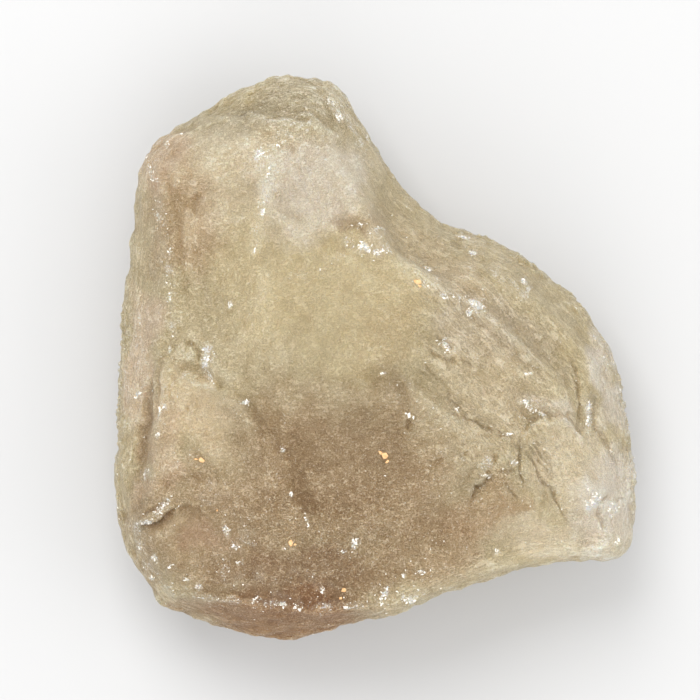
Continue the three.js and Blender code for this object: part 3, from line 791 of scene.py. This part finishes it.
def desert_glass():
    """Silica glass frosted by wind-blown sand.

    It gives a soft, satin surface that lets light in but shows nothing sharp through it. Zones of tint and
    painted light make it pale straw where the stone is thin and smoky brown where it is thick, and its fine
    wrinkles glint, partly by painted highlights.
    """
    material, tree = empty_material("frosted_desert_glass")
    place = add(tree, "ShaderNodeTexCoord").outputs["Object"]
    place_mm = add(tree, "ShaderNodeVectorMath", {0: place, "Scale": 1 / MM}, operation="SCALE")
    shares = add(tree, "ShaderNodeSeparateXYZ", {
        0: add(tree, "ShaderNodeAttribute", attribute_name="grain_share").outputs["Vector"]})
    colour = zone_tints_and_light(tree, place_mm)

    # Relief of the skin: wrinkles, grains of frosting, and thin creases between the wrinkles
    wrinkles = wrinkled(tree, place_mm, shares)
    frosting = add(tree, "ShaderNodeTexNoise", {
        "Vector": place_mm, "Scale": 1 / FROSTING, "Detail": 1.0, "Roughness": 0.6})
    off_crease = add(tree, "ShaderNodeMath", {0: wrinkles, 1: 0.5}, operation="SUBTRACT")
    crease_gap = add(tree, "ShaderNodeMath", {0: off_crease}, operation="ABSOLUTE")
    beside_crease = add(tree, "ShaderNodeMapRange", {"Value": crease_gap, "From Max": 0.04},
                        interpolation_type="SMOOTHSTEP")
    relief = add(tree, "ShaderNodeMath", {0: frosting, 1: 0.95, 2: wrinkles}, operation="MULTIPLY_ADD")
    relief = add(tree, "ShaderNodeMath", {0: beside_crease, 1: 0.2, 2: relief}, operation="MULTIPLY_ADD")

    # Painted light and shade: crests and the high points of the wrinkles are painted paler, hollows darker
    # and deeper in colour, and creases are thin dark lines
    crest = add(tree, "ShaderNodeAttribute", attribute_name="crest").outputs["Fac"]
    crest_light_and_shade = add(tree, "ShaderNodeMapRange", {
        "Value": crest, "From Min": -1.0, "From Max": 1.0, "To Min": -0.6, "To Max": 0.6})
    wrinkle_light_and_shade = add(tree, "ShaderNodeMapRange", {
        "Value": relief, "From Min": 0.79, "From Max": 1.43, "To Min": -1.0, "To Max": 1.0}, clamp=False)
    relief_light_and_shade = add(tree, "ShaderNodeMath", {0: wrinkle_light_and_shade, 1: shares.outputs[2], 2: crest_light_and_shade}, operation="MULTIPLY_ADD")
    depth = add(tree, "ShaderNodeMapRange", {
        "Value": relief_light_and_shade, "From Min": -1.0, "From Max": 1.0, "To Min": 1.3, "To Max": 0.72}, clamp=False)
    deepened = add(tree, "ShaderNodeGamma", {"Color": colour, "Gamma": depth})
    shade = add(tree, "ShaderNodeMapRange", {
        "Value": relief_light_and_shade, "From Min": -1.0, "From Max": 1.0, "To Min": 0.87, "To Max": 1.13}, clamp=False)
    hairline = add(tree, "ShaderNodeMapRange", {"Value": beside_crease, "To Min": 0.8})
    lined = add(tree, "ShaderNodeMath", {0: shade, 1: hairline}, operation="MULTIPLY")
    shaded = add(tree, "ShaderNodeVectorMath", {0: deepened, "Scale": lined}, operation="SCALE")

    # Brown dust and painted shade lie in the cracks, and the highest grains of the frosting are painted
    # glints
    crack = add(tree, "ShaderNodeAttribute", attribute_name="crack").outputs["Fac"]
    dust_and_shade_share = add(tree, "ShaderNodeMapRange", {"Value": crack, "To Max": 0.6})
    dusty_and_shaded = add(tree, "ShaderNodeMix", {0: dust_and_shade_share, 6: shaded, 7: srgb(BROWN_DUST_AND_SHADE)}, data_type="RGBA")
    # Painted highlights: the highest grains of the frosting are mixed towards a pale glint colour
    glint = add(tree, "ShaderNodeMapRange", {
        "Value": frosting, "From Min": 0.68, "From Max": 0.8, "To Max": 0.5})
    glint_share = add(tree, "ShaderNodeMath", {0: glint, 1: shares.outputs[2]}, operation="MULTIPLY",
                      use_clamp=True)
    glinting = add(tree, "ShaderNodeMix", {0: glint_share, 6: dusty_and_shaded, 7: srgb(GLINT)}, data_type="RGBA")

    bump = add(tree, "ShaderNodeBump", {"Strength": 1.0, "Distance": WRINKLE_HEIGHT * MM, "Height": relief})
    gloss = add(tree, "ShaderNodeMapRange", {
        "Value": relief, "From Min": 0.8, "From Max": 1.4, "To Min": 0.48, "To Max": 0.28})
    surface = add(tree, "ShaderNodeBsdfPrincipled", {
        "Base Color": crusted(tree, place_mm, frosting, glinting), "Roughness": gloss, "IOR": 1.46,
        "Transmission Weight": 0.35, "Subsurface Weight": 0.6, "Subsurface Radius": (1.0, 0.85, 0.6),
        "Subsurface Scale": 5.0 * MM, "Normal": bump})
    inside = add(tree, "ShaderNodeVolumeAbsorption", {"Color": srgb(GLASS_DEPTH), "Density": 12.0})
    add(tree, "ShaderNodeOutputMaterial", {"Surface": surface, "Volume": inside})
    return material


def speckled(name, spacing, low, high, roughness, ior):
    """A matt grain with two tones in small speckles."""
    material, tree = empty_material(name)
    place = add(tree, "ShaderNodeTexCoord").outputs["Object"]
    speckle = add(tree, "ShaderNodeTexNoise", {"Vector": place, "Scale": 1 / (spacing * MM), "Detail": 2.0})
    colour = add(tree, "ShaderNodeMix", {0: speckle, 6: srgb(low), 7: srgb(high)}, data_type="RGBA")
    surface = add(tree, "ShaderNodeBsdfPrincipled", {
        "Base Color": colour, "Roughness": roughness, "IOR": ior})
    add(tree, "ShaderNodeOutputMaterial", {"Surface": surface})
    return material


def crushed_glass():
    """Desert glass crushed by blown sand: its flecks look white and matt, with a greyer side."""
    return speckled("crushed_white_glass", 0.3, "#d6d0c2", "#f0ede4", roughness=0.6, ior=1.46)


def stained_sand():
    """Quartz sand with a skin of iron rust: its grains are dull orange, fading to pale ochre."""
    return speckled("iron_stained_sand", 0.4, "#d2944f", "#f4d2a4", roughness=0.7, ior=1.5)


def floor_paper():
    """Matt white paper: a bright, even ground with no gloss, which takes only soft shadow."""
    material, tree = empty_material("white_paper_floor")
    surface = add(tree, "ShaderNodeBsdfPrincipled", {"Base Color": srgb("#c5c5c5"), "Roughness": 0.9})
    add(tree, "ShaderNodeOutputMaterial", {"Surface": surface})
    return material


# Named white chips: X, Y, size
WHITE_CHIPS = [
    (4.1, -7.2, 0.8), (3.7, -6.9, 0.5), (4.6, -7.4, 0.5), (-14.2, 25.2, 0.5), (-13.4, 22.7, 0.4),
    (-2.8, -22.6, 0.6), (-2.4, -23.1, 0.4), (-29.0, -20.7, 0.5), (-27.5, -25.1, 0.6), (-17.6, -23.2, 0.45),
    (14.8, -23.9, 0.5), (12.1, 13.0, 0.5), (3.4, -27.1, 0.4), (30.2, -22.7, 0.5), (-10.6, -16.8, 0.35),
    (-1.8, 13.6, 0.4), (0.9, 13.2, 0.4), (-15.9, -5.3, 0.4), (18.4, 9.4, 0.4), (8.8, 0.9, 0.45),
    (-24.2, 27.8, 0.5), (26.4, -7.4, 0.4), (0.6, -2.0, 0.35), (9.6, 7.5, 0.4),
]

# Rusty grains: X, Y, size
RUSTY_GRAINS = [
    (1.1, -12.2, 1.1), (0.6, -11.8, 0.6), (1.4, -12.9, 0.5), (5.1, 9.3, 0.9), (5.4, 8.8, 0.4),
    (-21.6, -12.7, 0.8), (-22.2, -12.6, 0.5), (-10.5, -23.0, 0.8), (-10.0, -23.1, 0.4),
    (-3.9, -28.8, 0.8), (-4.3, -29.8, 0.6), (-19.6, -18.9, 0.4),
]

# White crust: line, reach across it, thickness
CRUST_LINES = [
    ([(-14.2, 25.9), (-13.4, 22.2), (-14.2, 17.9), (-15.2, 13.0)], 0.9, 0.8),
    ([(-3.6, 14.2), (-1.4, 13.3), (1.4, 13.2)], 1.1, 1.15),
    ([(-2.4, 16.4), (-0.6, 15.6), (1.2, 14.6)], 1.1, 0.8),
    ([(-27.2, 24.0), (-26.8, 20.6), (-26.2, 14.2), (-25.6, 8.6), (-25.0, 3.0)], 0.9, 0.8),
    ([(-20.9, 1.4), (-20.6, -0.6), (-20.2, -1.8)], 1.0, 1.1),
    ([(-29.7, 6.6), (-29.2, 0.3), (-29.6, -4.3)], 0.9, 0.7),
    ([(-31.0, 3.0), (-31.8, -6.0), (-31.4, -14.0)], 0.9, 0.6),
    ([(-19.4, -4.6), (-15.8, -7.8), (-12.6, -11.0)], 0.5, 0.55),
    ([(-12.0, 9.4), (-6.8, 10.6), (-3.8, 13.4)], 0.9, 0.5),
    ([(2.5, 12.0), (5.5, 8.8), (9.3, 8.2), (13.0, 6.5)], 1.6, 0.7),
    ([(8.8, 7.9), (10.4, 7.2)], 0.8, 1.0),
    ([(14.6, 11.2), (16.4, 9.2), (18.6, 7.6)], 1.0, 0.95),
    ([(-5.6, 32.0), (-3.6, 30.2), (-2.4, 28.2), (-1.4, 25.6)], 1.3, 0.85),
    ([(-29.6, -21.6), (-28.2, -25.8), (-25.6, -29.2)], 1.4, 0.75),
    ([(-20.6, -16.4), (-17.6, -19.0), (-16.0, -22.6)], 2.2, 0.6),
    ([(-22.7, -29.9), (-15.0, -30.4), (-7.0, -30.9), (0.4, -30.4), (6.0, -28.6)], 0.9, 0.95),
    ([(-20.0, -26.6), (-12.0, -28.0), (-4.0, -26.6)], 2.4, 0.55),
    ([(26.2, -5.0), (26.5, -9.0)], 0.7, 1.0),
    ([(13.6, -12.2), (13.2, -14.4)], 0.9, 0.9),
    ([(30.4, -10.0), (31.4, -14.0), (31.2, -18.0)], 1.2, 0.7),
    ([(27.6, 3.0), (29.6, -1.4), (30.0, -5.0)], 1.0, 0.6),
    ([(24.8, 7.0), (28.6, 3.4)], 1.0, 0.5),
    ([(-30.2, -20.9), (-28.6, -20.5)], 0.7, 0.9),
    ([(0.8, -0.4), (5.6, -5.2), (10.2, -8.8)], 2.0, 0.45),
    ([(18.0, -5.2), (21.4, -6.8)], 1.0, 0.75),
    ([(-22.4, -24.6), (-18.4, -27.0)], 1.4, 0.7),
    ([(8.4, 1.6), (9.6, 0.6)], 0.8, 0.95),
]

# Patches of white crust: X, Y, length, width, turn in degrees
CRUST_SPOTS = [
    # Narrow end
    (-14.5, 25, 2, 1.3, 70), (-12.5, 26, 1.8, 0.7, 30), (-13.5, 22.5, 1.2, 0.8, 60), (-14, 18, 1.2, 0.6, 80),
    (-15, 13, 0.8, 0.5, 80), (-18, 6.5, 1, 0.6, 75), (-26, 26.5, 1.3, 0.6, 90), (-28, 23, 2.6, 0.7, 110),
    (-27, 17.5, 1.4, 0.5, 120), (-25.5, 13, 1.6, 0.5, 90), (-25.5, 7.5, 1.2, 0.4, 90),
    (-5.5, 31.5, 1.6, 1, 120), (-4.5, 30, 2, 1, 110), (-1, 27.5, 1, 0.6, 110),
    (-1.5, 13.5, 2.2, 1.3, 150), (0.5, 13, 2.2, 0.9, 0), (-2, 16.5, 0.7, 0.5, 90), (0.5, 16, 1.4, 0.4, 0),
    # Left part
    (-21, -0.5, 2.4, 0.9, 80), (-20.5, -2.5, 1.4, 0.8, 130), (-25.5, 1, 1, 0.4, 90),
    (-16, -5.5, 1.2, 0.6, 20),
    (-11.5, -11.5, 0.9, 0.7, 70), (-10.5, -17, 0.7, 0.5, 125), (-8.5, -20, 1.5, 0.5, 100),
    (-27, -9.5, 1.4, 0.5, 75), (-26.5, -6.5, 2, 0.7, 60), (-29.5, -4.5, 1.2, 0.7, 65),
    (-28.5, -14.5, 2, 0.8, 80),
    (-26.5, -18.5, 3, 1, 45), (-28.5, -20.5, 1.6, 0.8, 10), (-29.5, -23.5, 0.9, 0.5, 125),
    (-27.5, -25, 1.6, 0.8, 115), (-28, -27.5, 0.9, 0.6, 130), (-25.5, -26, 0.8, 0.5, 55),
    (-23.5, -27.5, 0.8, 0.5, 150), (-22, -28.5, 1.2, 0.7, 150), (-17.5, -23.5, 1, 0.7, 0),
    (-17, -25.5, 0.8, 0.5, 0), (-18.5, -21.5, 1.6, 0.9, 120),
    # Smoky half and bottom edge
    (-2.5, -23, 1.6, 1.1, 65), (-4, -24, 1.1, 0.5, 10), (3.5, -27, 0.9, 0.6, 70), (5.5, -26.5, 1.2, 0.6, 0),
    (15, -24, 0.9, 0.6, 110), (-15, -30, 1.4, 0.6, 35), (-11.5, -30.5, 1, 0.6, 20), (-9.5, -31, 1, 0.7, 150),
    (-6.5, -29, 0.9, 0.6, 95), (-3.5, -31, 1.2, 0.7, 0), (1, -29.5, 2.4, 0.9, 70), (4, -30, 2, 1, 155),
    # Crest, right lobe and corner
    (6.5, 11, 1.1, 0.7, 165), (8.5, 7.5, 1.3, 0.8, 165), (11.5, 5.5, 1.1, 0.8, 75), (12.5, 6.5, 2.6, 1, 150),
    (11, 15, 2, 0.5, 165), (12, 13, 1.4, 0.6, 165), (18.5, 9.5, 1.4, 0.8, 120), (19, 8.5, 0.8, 0.6, 75),
    (19, -2, 1, 0.5, 10), (8.5, 1.5, 1.8, 0.8, 140), (1, -2, 0.8, 0.5, 0), (10, -6.5, 1.2, 0.4, 130),
    (16.5, -9.5, 1.1, 0.6, 10), (17, -13, 1.2, 0.7, 155), (13.5, -14.5, 1.8, 0.7, 160),
    (19, -6, 2.4, 0.8, 135), (20.5, -7, 1.6, 0.5, 150), (26.5, -7.5, 1.8, 0.5, 80), (26.5, -6, 1.4, 0.5, 80),
    (27, -18, 2.6, 1.8, 60), (29.5, -19, 2.8, 1.8, 80), (30, -23, 1.1, 0.6, 70), (26, -25, 2.4, 0.5, 0),
]

# Where the even wrinkles are strong (above 0) or faint (below 0): X, Y, radius, change
GRAINY_SPOTS = [
    (-5, 7, 12, -0.5),
    (24, -14, 7, -0.2),
    (-14, -22, 15, 0.35),
    (2, -20, 12, 0.3),
    (-28, 5, 10, 0.4),
    (-10, 32, 9, 0.9),
    (14, 6, 12, 0.15),
    (-23, -21.5, 3, -0.6),
    (-22, -7.5, 3.5, -0.3),
    (-14, -33.5, 3, -0.6),
    (19, -22.5, 3.5, -0.4),
]


# The stone

def roughness_shares(points, grain):
    """How much of the lumps and ripples each point takes: more near the rim, less in the heart."""
    near_rim = 1 - smoothstep(1.0, 4.5, np.abs(grain[:, 2]))
    upper_bevel = round_share(points, -11, 32, 9)
    heart = round_share(points, -4, 6, 12)
    return 0.7 + 1.1 * near_rim + 0.7 * upper_bevel - 0.25 * heart


def grain_shares(points, grain):
    """Three shares for each point: of rim wrinkles, of slanting wrinkles, and how grainy it is."""
    below_rim = smoothstep(-0.5, -4.0, grain[:, 2])
    rim = (1 - smoothstep(4.0, 9.0, np.abs(grain[:, 2]))) * (1 - 0.55 * below_rim)
    x, y = points[:, 0], points[:, 1]
    slant = smoothstep(5, 11, x + 0.35 * (y + 4)) * smoothstep(-18, -12, y) * (1 - rim) * 0.8
    grainy = np.full(len(points), 0.9)
    for spot_x, spot_y, radius, change in GRAINY_SPOTS:
        grainy += change * round_share(points, spot_x, spot_y, radius)
    return np.column_stack([rim, slant, grainy])


def crust_cover(points, normals, crest):
    """How much white crust each point carries: 0 is none, 1 a thin line and 2 a thick patch."""
    cover = np.maximum(0.3 * smoothstep(0.06, 0.22, crest), line_cover(wandered(points), CRUST_LINES))
    cover = np.maximum(cover, 1.4 * spot_cover(points[:, :2]))
    return cover * smoothstep(-0.2, 0.3, normals[:, 2])


def facing_up(points, faces):
    """How far up each face looks at the most: 1 is straight up and -1 straight down."""
    return corner_normals(points, faces)[:, 2][faces].max(axis=1)


def build_stone():
    points, faces = split_smoothly(*merged_skin(NODE))
    points, faces = split_where(points, faces, facing_up(points, faces) > UNDERSIDE_TURN)
    for near in (near_forms, near_cracks):
        chosen = near(points[faces].mean(axis=1)) & (facing_up(points, faces) > 0)
        points, faces = split_where(points, faces, chosen)
    normals = corner_normals(points, faces)
    relief, crack = carve_small_forms(points, normals)
    lift = smoothstep(0, REST_MARGIN, points[:, 2])
    points = points + normals * (relief * lift)[:, None]
    grain = rim_grain(points)
    stone = mesh_object("glass_lump", points, faces)
    store(stone, "rim_grain", grain)
    store(stone, "roughness_share", roughness_shares(points, grain))
    store(stone, "crack", np.clip(crack, 0, 1))
    store(stone, "nodule", line_cover(wandered(points), NODULES) * (normals[:, 2] > 0))
    apply_tree(stone, wind_worn_tree(desert_glass()), SKIN_SIZES)

    # What is stored from here on follows the worn skin
    points = read_points(stone.data)
    faces = read_faces(stone.data)
    normals = corner_normals(points, faces)
    points[:, 2] = np.maximum(points[:, 2], 0)
    stone.data.vertices.foreach_set("co", (points * MM).ravel())
    crest = standing_out(points, faces, normals, CREST_ROUNDS)
    # The crest share paints crests paler and hollows darker, as painted light and shade, and adds the small
    # forms' relief
    store(stone, "crest", np.clip(crest / CREST_HEIGHT + 1.4 * relief, -1, 1))
    store(stone, "grain_share", grain_shares(points, grain))
    store(stone, "crust", crust_cover(points, normals, crest))
    stone.data.update()
    return stone, points, faces, crest


# Chips and grains on the stone

SPECK_SEED = 11
CHIP_SEED = 5
CHIP_ROUGHNESS = 0.3
# The height from which each chip is dropped on the skin
DROP_HEIGHT = 60
FLECKS_PER_MM = 4.5
FLECKS_PER_SQUARE_MM = 7
LOOSE_FLECKS = 1300


def line_flecks(random):
    """Flecks along the lines of crust, most of them small: X, Y, size."""
    flecks = []
    for line, reach, thickness in CRUST_LINES:
        ends = np.array(line)
        marks = line_marks(ends)
        count = round(marks[-1] * FLECKS_PER_MM * thickness ** 2) + 2
        along = random.uniform(0, marks[-1], count)
        x = np.interp(along, marks, ends[:, 0]) + random.normal(0, reach * 0.5, count)
        y = np.interp(along, marks, ends[:, 1]) + random.normal(0, reach * 0.5, count)
        flecks += zip(x, y, 0.1 + 0.25 * random.random(count) ** 3)
    return flecks


def spot_flecks(random):
    """Flecks in the patches of crust, somewhat larger."""
    flecks = []
    for x, y, length, width, turn in CRUST_SPOTS:
        count = round(length * width * FLECKS_PER_SQUARE_MM) + 2
        along = random.normal(0, length * 0.27, count)
        across = random.normal(0, width * 0.27, count)
        way = math.radians(turn)
        flecks += zip(x + along * math.cos(way) - across * math.sin(way),
                      y + along * math.sin(way) + across * math.cos(way),
                      0.15 + 0.35 * random.random(count) ** 2)
    return flecks


def loose_flecks(random, points, crest):
    """Flecks over the whole stone, mostly on crests and in its lower half."""
    chance = (smoothstep(0.0, 0.12, crest) + 0.2) * (points[:, 2] > REST_MARGIN)
    chance *= 0.25 + smoothstep(-4, -16, points[:, 1])
    picked = random.choice(len(points), LOOSE_FLECKS, replace=False, p=chance / chance.sum())
    return [(*points[index, :2], 0.09 + 0.2 * random.random() ** 3) for index in picked]


def rough_chip(name):
    """A broken lump, one metre across, that the scatter trees repeat at a chip's size."""
    random = np.random.default_rng(CHIP_SEED)
    bpy.ops.mesh.primitive_ico_sphere_add(subdivisions=1, radius=0.5)
    chip = bpy.context.object
    chip.name = name
    points = read_points(chip.data)
    points *= (1 + random.uniform(-CHIP_ROUGHNESS, CHIP_ROUGHNESS, len(points)))[:, None]
    chip.data.vertices.foreach_set("co", (points * MM).ravel())
    chip.data.update()
    return chip


def on_top(skin, x, y):
    """The skin straight below a point, and the way the skin faces there."""
    start = Vector((x * MM, y * MM, DROP_HEIGHT * MM))
    place, normal, _, _ = skin.ray_cast(start, Vector((0, 0, -1)))
    return place, normal


def scattered(name, spots, skin, chip, material, thickness, seed):
    """Chips of one kind, one on the skin below each spot: X, Y, size."""
    found = [(*on_top(skin, x, y), size) for x, y, size in spots]
    places, facings, sizes = zip(*(spot for spot in found if spot[0] is not None))
    cloud = mesh_object(name, np.array(places) / MM, [])
    store(cloud, "facing", np.array(facings))
    store(cloud, "size", np.array(sizes) * MM)
    tree = scatter_tree(name + "_scatter", chip, material)
    return apply_tree(cloud, tree, {"Seed": seed, "Thickness": thickness})


def build_specks(points, faces, crest):
    """Chips that stand on the skin: white ones along the crust and on crests, and rusty sand grains."""
    skin = BVHTree.FromPolygons((points * MM).tolist(), faces.tolist())
    random = np.random.default_rng(SPECK_SEED)
    flecks = WHITE_CHIPS + line_flecks(random) + spot_flecks(random) + loose_flecks(random, points, crest)
    chip = rough_chip("chip_form")
    white = scattered("white_chips", flecks, skin, chip, crushed_glass(), thickness=0.3, seed=3)
    rusty = scattered("rusty_sand_grains", RUSTY_GRAINS, skin, chip, stained_sand(), thickness=0.6, seed=7)
    bpy.data.objects.remove(chip)
    return white, rusty


# Studio

# Half the width of the floor
FLOOR_REACH = 1500
# Softboxes: name, place in metres, width in metres, power in watts
SOFTBOXES = [
    ("top_softbox", (-0.14, 0.36, 0.56), 0.42, 2.75),
    ("side_softbox", (0.5, -0.1, 0.4), 0.4, 0.7),
    ("front_softbox", (-0.1, -0.55, 0.4), 0.5, 1.05),
]
ROOM_TINT = "#fafafa"
ROOM_LIGHT = 1.15
PICTURE_WIDTH = 700
PIXELS_PER_MM = 8
# The point of the stone in the middle of the picture, and the height of the rim, which sets the scale
PICTURE_MIDDLE = (-3.19, 0.91)
RIM_HEIGHT = 12.0
LENS = 400
SENSOR_WIDTH = 36


def build_floor():
    corners = [(x * FLOOR_REACH, y * FLOOR_REACH, 0) for x, y in ((-1, -1), (1, -1), (1, 1), (-1, 1))]
    floor = mesh_object("floor", corners, [(0, 1, 2, 3)])
    floor.data.materials.append(floor_paper())
    return floor


def build_lights():
    for name, place, width, power in SOFTBOXES:
        light = bpy.data.lights.new(name, "AREA")
        light.size = width
        light.energy = power
        lamp = new_object(name, light)
        lamp.location = place
        lamp.rotation_euler = (-Vector(place)).to_track_quat("-Z", "Y").to_euler()
    world = bpy.data.worlds.new("soft_room")
    bpy.context.scene.world = world
    world.use_nodes = True
    background = world.node_tree.nodes["Background"]
    background.inputs["Color"].default_value = srgb(ROOM_TINT)
    background.inputs["Strength"].default_value = ROOM_LIGHT


def build_camera():
    """Looks straight down at the broad face."""
    data = bpy.data.cameras.new("camera")
    data.lens = LENS
    data.sensor_width = SENSOR_WIDTH
    distance = PICTURE_WIDTH / PIXELS_PER_MM * LENS / SENSOR_WIDTH
    camera = new_object("camera", data)
    camera.location = Vector((*PICTURE_MIDDLE, RIM_HEIGHT + distance)) * MM
    bpy.context.scene.camera = camera
    bpy.context.scene.view_settings.view_transform = "Standard"


stone, skin_points, skin_faces, skin_crest = build_stone()
white, rusty = build_specks(skin_points, skin_faces, skin_crest)
floor = build_floor()
build_lights()
build_camera()

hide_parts(NODE)
for piece in (stone, white, rusty):
    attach(piece, BODY)
